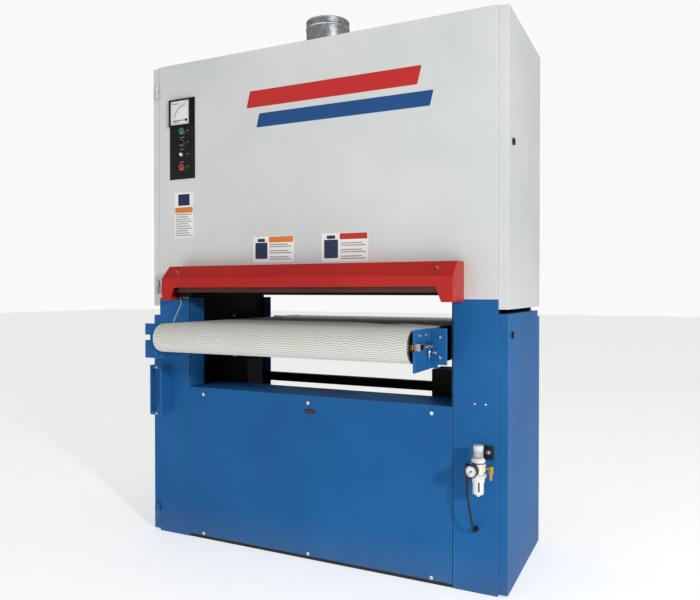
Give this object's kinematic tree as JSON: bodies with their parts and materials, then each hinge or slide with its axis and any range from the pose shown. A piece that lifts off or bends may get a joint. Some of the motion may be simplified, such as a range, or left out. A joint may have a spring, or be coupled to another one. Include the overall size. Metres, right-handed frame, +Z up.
{
  "type": "wide-belt sander",
  "caption": "Floor-standing wide-belt sander: a closed sanding head in a light cabinet above a lifting feed table, on a blue two-column base.",
  "frame": {"origin": "on the floor, under the middle of the machine", "axes": "+X to the right of a person facing the infeed side, +Y towards the outfeed side, +Z up"},
  "size_m": [1.643, 1.224, 2.262],
  "materials": {
    "blue_enamel": "powder-coated sheet steel, semi-gloss blue",
    "light_enamel": "powder-coated sheet steel, light warm grey, fine texture",
    "red_enamel": "powder-coated sheet steel, red",
    "dark_red_enamel": "painted flat bar, dark red",
    "black_steel": "black painted plate and section",
    "galvanised": "galvanised sheet",
    "bright_steel": "turned and ground steel",
    "zinc_fasteners": "bright zinc-plated",
    "chrome_bezels": "chromed rings",
    "black_plastic": "moulded black plastic",
    "green_plastic": "moulded green push button",
    "red_plastic": "moulded red push button",
    "white_plastic": "moulded off-white plastic",
    "bowl_plastic": "moulded translucent bowl",
    "brass_fitting": "machined brass",
    "feed_belt": "off-white rough-top rubber feed belt",
    "abrasive": "cloth-backed abrasive",
    "drum_rubber": "rubber-covered drum",
    "hose_rubber": "black air hose",
    "cable_sheath": "light grey cable",
    "motor_paint": "grey-blue motor enamel on cast iron",
    "roller_steel": "turned steel roller with an oiled, brownish end"
  },
  "bodies": {
    "cabinet": {"base_frame": "black_steel", "column_frames": "black_steel", "column_covers": "blue_enamel", "front_panel": "blue_enamel", "rear_panel": "blue_enamel", "upper_front_panel": "light_enamel", "upper_rear_panel": "light_enamel", "top_panel": "light_enamel", "head_plates": "black_steel", "infeed_hood": "red_enamel", "dust_port": "galvanised", "fasteners": "zinc_fasteners", "lift_housings": "black_steel", "control_plate": "black_plastic", "ammeter": "black_plastic", "control_bezels": "chrome_bezels", "door_hinges": "bright_steel", "limit_switch": "black_plastic", "switch_cable": "cable_sheath", "filter_regulator": "white_plastic", "filter_bowl": "bowl_plastic", "air_gauge": "black_plastic", "air_fittings": "black_plastic", "inlet_fitting": "brass_fitting", "air_hose": "hose_rubber", "scale_bracket": "blue_enamel", "tension_cylinder": "galvanised", "sanding_belt": "abrasive", "main_motor": "motor_paint", "drive_belts": "hose_rubber"},
    "table": {"table_frame": "black_steel", "roller_brackets": "blue_enamel", "take_up_bearings": "bright_steel", "feed_belt": "feed_belt", "feed_gearmotor": "motor_paint"},
    "front_roller": {"front_roller": "roller_steel"},
    "drive_roller": {"drive_roller": "roller_steel"},
    "left_lift_screw": {"left_lift_screw": "bright_steel"},
    "right_lift_screw": {"right_lift_screw": "bright_steel"},
    "contact_drum": {"contact_drum": "drum_rubber"},
    "tension_yoke": {"tension_yoke": "black_steel"},
    "tension_roller": {"tension_roller": "bright_steel"},
    "motor_pulley": {"motor_pulley": "motor_paint"},
    "front_hold_down": {"front_hold_down": "drum_rubber"},
    "rear_hold_down": {"rear_hold_down": "drum_rubber"},
    "safety_bar": {"safety_bar": "dark_red_enamel"},
    "upper_left_door": {"upper_left_door": "light_enamel"},
    "upper_right_door": {"upper_right_door": "light_enamel"},
    "lower_left_door": {"lower_left_door": "blue_enamel"},
    "lower_right_door": {"lower_right_door": "blue_enamel"},
    "upper_left_latch": {"upper_left_latch": "black_plastic"},
    "upper_right_latch": {"upper_right_latch": "black_plastic"},
    "lower_left_latch": {"lower_left_latch": "black_plastic"},
    "lower_right_latch": {"lower_right_latch": "black_plastic"},
    "start_button": {"start_button": "green_plastic"},
    "stop_button": {"stop_button": "red_plastic"},
    "selector_knob": {"selector_knob": "black_plastic"},
    "regulator_knob": {"regulator_knob": "white_plastic"},
    "ammeter_needle": {"ammeter_needle": "black_plastic"},
    "gauge_needle": {"gauge_needle": "black_plastic"}
  },
  "joints": [
    {"name": "table_lift", "type": "slide", "parent": "cabinet", "child": "table", "axis": [0, 0, 1], "range_m": [0, 0.112]},
    {"name": "drive_roller_spin", "type": "hinge", "parent": "table", "child": "drive_roller", "pos_m": [0, 0.5546, 0.9096], "axis": [1, 0, 0], "continuous": true},
    {"name": "front_roller_spin", "type": "hinge", "parent": "table", "child": "front_roller", "pos_m": [0, -0.5546, 0.9096], "axis": [1, 0, 0], "continuous": true},
    {"name": "left_screw_turn", "type": "hinge", "parent": "cabinet", "child": "left_lift_screw", "pos_m": [-0.5855, 0, 0.4], "axis": [0, 0, 1], "range_deg": [-7201, 0]},
    {"name": "right_screw_turn", "type": "hinge", "parent": "cabinet", "child": "right_lift_screw", "pos_m": [0.5855, 0, 0.4], "axis": [0, 0, 1], "range_deg": [-7201, 0]},
    {"name": "drum_spin", "type": "hinge", "parent": "cabinet", "child": "contact_drum", "pos_m": [0, 0, 1.1846], "axis": [1, 0, 0], "continuous": true},
    {"name": "tension_slide", "type": "slide", "parent": "cabinet", "child": "tension_yoke", "axis": [0, 0, 1], "range_m": [-0.015, 0]},
    {"name": "tension_roller_spin", "type": "hinge", "parent": "tension_yoke", "child": "tension_roller", "pos_m": [0, 0, 1.8846], "axis": [1, 0, 0], "continuous": true},
    {"name": "motor_spin", "type": "hinge", "parent": "cabinet", "child": "motor_pulley", "pos_m": [0, 0.165, 0.162], "axis": [1, 0, 0], "continuous": true},
    {"name": "front_hold_down_spin", "type": "hinge", "parent": "cabinet", "child": "front_hold_down", "pos_m": [0, -0.15, 1.113], "axis": [1, 0, 0], "continuous": true},
    {"name": "rear_hold_down_spin", "type": "hinge", "parent": "cabinet", "child": "rear_hold_down", "pos_m": [0, 0.15, 1.113], "axis": [1, 0, 0], "continuous": true},
    {"name": "safety_bar_swing", "type": "hinge", "parent": "cabinet", "child": "safety_bar", "pos_m": [0, -0.414, 1.125], "axis": [1, 0, 0], "range_deg": [-2, 25]},
    {"name": "upper_left_door_swing", "type": "hinge", "parent": "cabinet", "child": "upper_left_door", "pos_m": [-0.786, -0.314, 1.5], "axis": [0, 0, 1], "range_deg": [0, 105]},
    {"name": "upper_right_door_swing", "type": "hinge", "parent": "cabinet", "child": "upper_right_door", "pos_m": [0.786, 0.314, 1.5], "axis": [0, 0, 1], "range_deg": [0, 105]},
    {"name": "lower_left_door_swing", "type": "hinge", "parent": "cabinet", "child": "lower_left_door", "pos_m": [-0.786, -0.314, 0.5], "axis": [0, 0, 1], "range_deg": [0, 105]},
    {"name": "lower_right_door_swing", "type": "hinge", "parent": "cabinet", "child": "lower_right_door", "pos_m": [0.786, 0.314, 0.5], "axis": [0, 0, 1], "range_deg": [0, 105]},
    {"name": "upper_left_latch_turn", "type": "hinge", "parent": "upper_left_door", "child": "upper_left_latch", "pos_m": [-0.8145, 0.241, 1.642], "axis": [1, 0, 0], "range_deg": [-90, 0]},
    {"name": "upper_right_latch_turn", "type": "hinge", "parent": "upper_right_door", "child": "upper_right_latch", "pos_m": [0.8145, -0.241, 1.642], "axis": [1, 0, 0], "range_deg": [0, 90]},
    {"name": "lower_left_latch_turn", "type": "hinge", "parent": "lower_left_door", "child": "lower_left_latch", "pos_m": [-0.8145, 0.241, 0.94], "axis": [1, 0, 0], "range_deg": [-90, 0]},
    {"name": "lower_right_latch_turn", "type": "hinge", "parent": "lower_right_door", "child": "lower_right_latch", "pos_m": [0.8145, -0.241, 0.94], "axis": [1, 0, 0], "range_deg": [0, 90]},
    {"name": "start_button_press", "type": "slide", "parent": "cabinet", "child": "start_button", "axis": [0, 1, 0], "range_m": [0, 0.004], "stiffness_N_per_m": 300},
    {"name": "stop_button_press", "type": "slide", "parent": "cabinet", "child": "stop_button", "axis": [0, 1, 0], "range_m": [0, 0.004], "stiffness_N_per_m": 300},
    {"name": "selector_turn", "type": "hinge", "parent": "cabinet", "child": "selector_knob", "pos_m": [-0.643, -0.32, 1.764], "axis": [0, 1, 0], "range_deg": [-45, 45]},
    {"name": "regulator_turn", "type": "hinge", "parent": "cabinet", "child": "regulator_knob", "pos_m": [0.724, -0.37, 0.53], "axis": [0, 0, 1], "range_deg": [-360, 360]},
    {"name": "ammeter_needle_swing", "type": "hinge", "parent": "cabinet", "child": "ammeter_needle", "pos_m": [-0.616, -0.318, 1.864], "axis": [0, 1, 0], "range_deg": [0, 80], "stiffness_Nm_per_rad": 0.001},
    {"name": "gauge_needle_swing", "type": "hinge", "parent": "cabinet", "child": "gauge_needle", "pos_m": [0.711, -0.4175, 0.471], "axis": [0, 1, 0], "range_deg": [0, 270], "stiffness_Nm_per_rad": 0.0001}
  ],
  "couplings": [
    {"joint": "front_roller_spin", "follows": "drive_roller_spin", "ratio": 1},
    {"joint": "left_screw_turn", "follows": "table_lift", "rad_per_m": -1047.2},
    {"joint": "right_screw_turn", "follows": "table_lift", "rad_per_m": -1047.2},
    {"joint": "tension_roller_spin", "follows": "drum_spin", "ratio": 1.6566},
    {"joint": "motor_spin", "follows": "drum_spin", "ratio": 0.7788}
  ]
}
